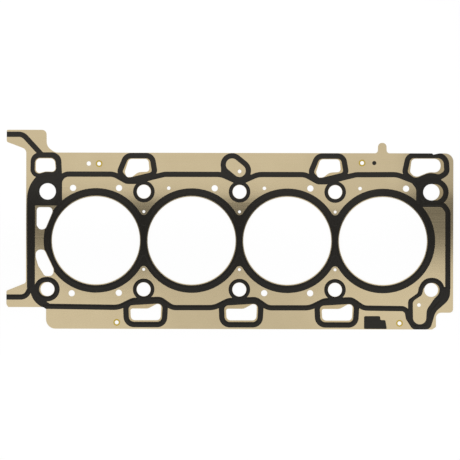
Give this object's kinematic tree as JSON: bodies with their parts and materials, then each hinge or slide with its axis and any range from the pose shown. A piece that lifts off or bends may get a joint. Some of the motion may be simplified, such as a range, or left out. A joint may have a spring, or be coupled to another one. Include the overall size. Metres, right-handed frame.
{
  "type": "cylinder head gasket",
  "caption": "Multi-layer steel cylinder head gasket for an in-line engine, with pressed beads under printed black rubber tracks, shimmed bores and hollow rivets.",
  "frame": {"origin": "midway between the two middle bores, in the plane of the lowest crests of the block side coat", "axes": "+X along the row of cylinders, +Y towards the locating dowels, +Z from the block to the head"},
  "size_m": [0.4296, 0.1912, 0.0017],
  "materials": {
    "spring_steel": "rolled, with a clear tan lacquer",
    "carrier_steel": "rolled",
    "stopper_steel": "rolled",
    "seal_rubber": "matte print",
    "rivet_brass": "bright"
  },
  "bodies": {
    "root": {"head_side_bead_layer": "spring_steel", "carrier_plate": "carrier_steel", "block_side_bead_layer": "spring_steel", "head_side_seal_coat": "seal_rubber", "block_side_seal_coat": "seal_rubber", "edge_patch": "seal_rubber", "index_dot": "seal_rubber", "bore_stopper_ring_1": "stopper_steel", "bore_stopper_ring_2": "stopper_steel", "bore_stopper_ring_3": "stopper_steel", "bore_stopper_ring_4": "stopper_steel", "rivet_1": "rivet_brass", "rivet_2": "rivet_brass", "rivet_3": "rivet_brass", "rivet_4": "rivet_brass"}
  },
  "joints": []
}
